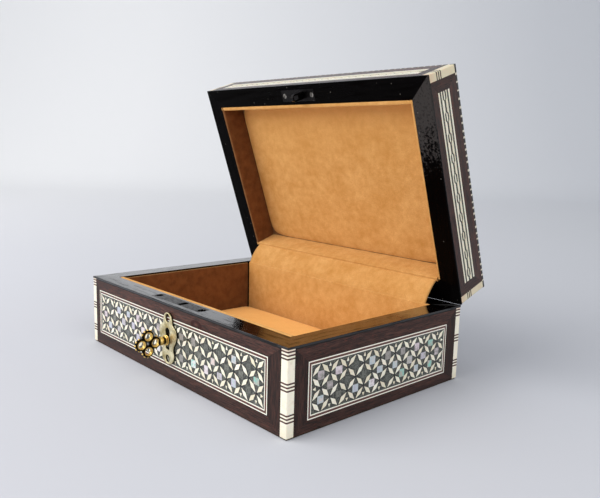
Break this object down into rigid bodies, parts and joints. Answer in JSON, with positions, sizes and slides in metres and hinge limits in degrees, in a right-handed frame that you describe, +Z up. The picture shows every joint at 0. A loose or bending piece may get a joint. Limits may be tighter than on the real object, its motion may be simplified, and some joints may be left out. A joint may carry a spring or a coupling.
{
  "type": "inlaid wooden box",
  "caption": "Hinged walnut jewellery box with bone and mother-of-pearl mosaic, lacquered rims, velvet lining and a keyed lock.",
  "frame": {"origin": "centre of the flat underside", "axes": "+X to the right along the long side, +Y to the hinged back, +Z up"},
  "size_m": [0.16, 0.1439, 0.1449],
  "materials": {
    "lacquered_wood": "black gloss lacquer on the rims, dark wood inside",
    "tan_felt": "matt",
    "walnut_veneer": "satin",
    "bone": "polished",
    "mother_of_pearl": "iridescent polish",
    "dark_mastic": "satin",
    "red_brown_wood": "satin",
    "edging_inlay": "satin, light and dark dashes",
    "tan_velvet": "short pile",
    "antique_brass": "aged",
    "lock_steel": "dark",
    "screw_steel": "dull",
    "hinge_brass": "dull"
  },
  "bodies": {
    "base": {"wall_front": "lacquered_wood", "wall_back": "lacquered_wood", "wall_left": "lacquered_wood", "wall_right": "lacquered_wood", "floor_board": "lacquered_wood", "underside_felt": "tan_felt", "veneer_front": "walnut_veneer", "veneer_back": "walnut_veneer", "veneer_left": "walnut_veneer", "veneer_right": "walnut_veneer", "bone_stringing": "bone", "wood_stringing": "red_brown_wood", "mosaic_ground": "dark_mastic", "bone_petals": "bone", "bone_drops": "bone", "pearl_tiles": "mother_of_pearl", "corner_bone": "bone", "corner_bands": "red_brown_wood", "lining_front": "tan_velvet", "lining_back": "tan_velvet", "lining_left": "tan_velvet", "lining_right": "tan_velvet", "floor_pad": "tan_velvet", "velvet_gusset": "tan_velvet", "lock_case": "lock_steel", "lock_top_plate": "lock_steel", "lock_screws": "screw_steel", "escutcheon": "antique_brass", "hinge_base_leaves": "hinge_brass", "hinge_pins": "hinge_brass", "hinge_base_screws": "screw_steel"},
    "lid": {"lid_wall_front": "lacquered_wood", "lid_wall_back": "lacquered_wood", "lid_wall_left": "lacquered_wood", "lid_wall_right": "lacquered_wood", "lid_top_board": "lacquered_wood", "lid_veneer_front": "walnut_veneer", "lid_veneer_back": "walnut_veneer", "lid_veneer_left": "walnut_veneer", "lid_veneer_right": "walnut_veneer", "chain_ground": "dark_mastic", "chain_bone": "bone", "lid_top_veneer": "walnut_veneer", "lid_edging": "edging_inlay", "lid_bone_stringing": "bone", "lid_wood_stringing": "red_brown_wood", "lid_mosaic_ground": "dark_mastic", "lid_petals": "bone", "lid_drops": "bone", "lid_pearls": "mother_of_pearl", "lid_corner_bone": "bone", "lid_corner_bands": "red_brown_wood", "lid_linings": "tan_velvet", "lid_pad": "tan_velvet", "strike_plate": "lock_steel", "lid_screws": "screw_steel", "hinge_lid_leaves": "hinge_brass"},
    "lock_hub": {"lock_hub": "lock_steel"},
    "lock_bolt": {"lock_bolt": "lock_steel"},
    "key": {"key": "antique_brass"}
  },
  "joints": [
    {"name": "lid_hinge", "type": "hinge", "parent": "base", "child": "lid", "pos_m": [0, 0.05405, 0.03615], "axis": [1, 0, 0], "range_deg": [-29, 71], "deforming": ["velvet_gusset"]},
    {"name": "key_turn", "type": "hinge", "parent": "base", "child": "lock_hub", "pos_m": [-0.0018, -0.0512, 0.0195], "axis": [0, 1, 0], "range_deg": [0, 90]},
    {"name": "bolt_slide", "type": "slide", "parent": "base", "child": "lock_bolt", "axis": [1, 0, 0], "range_m": [0, 0.00424]},
    {"name": "key_pull", "type": "slide", "parent": "lock_hub", "child": "key", "axis": [0, -1, 0], "range_m": [0, 0.03]}
  ],
  "couplings": [
    {"joint": "key_turn", "follows": "bolt_slide", "rad_per_m": 370.24}
  ]
}
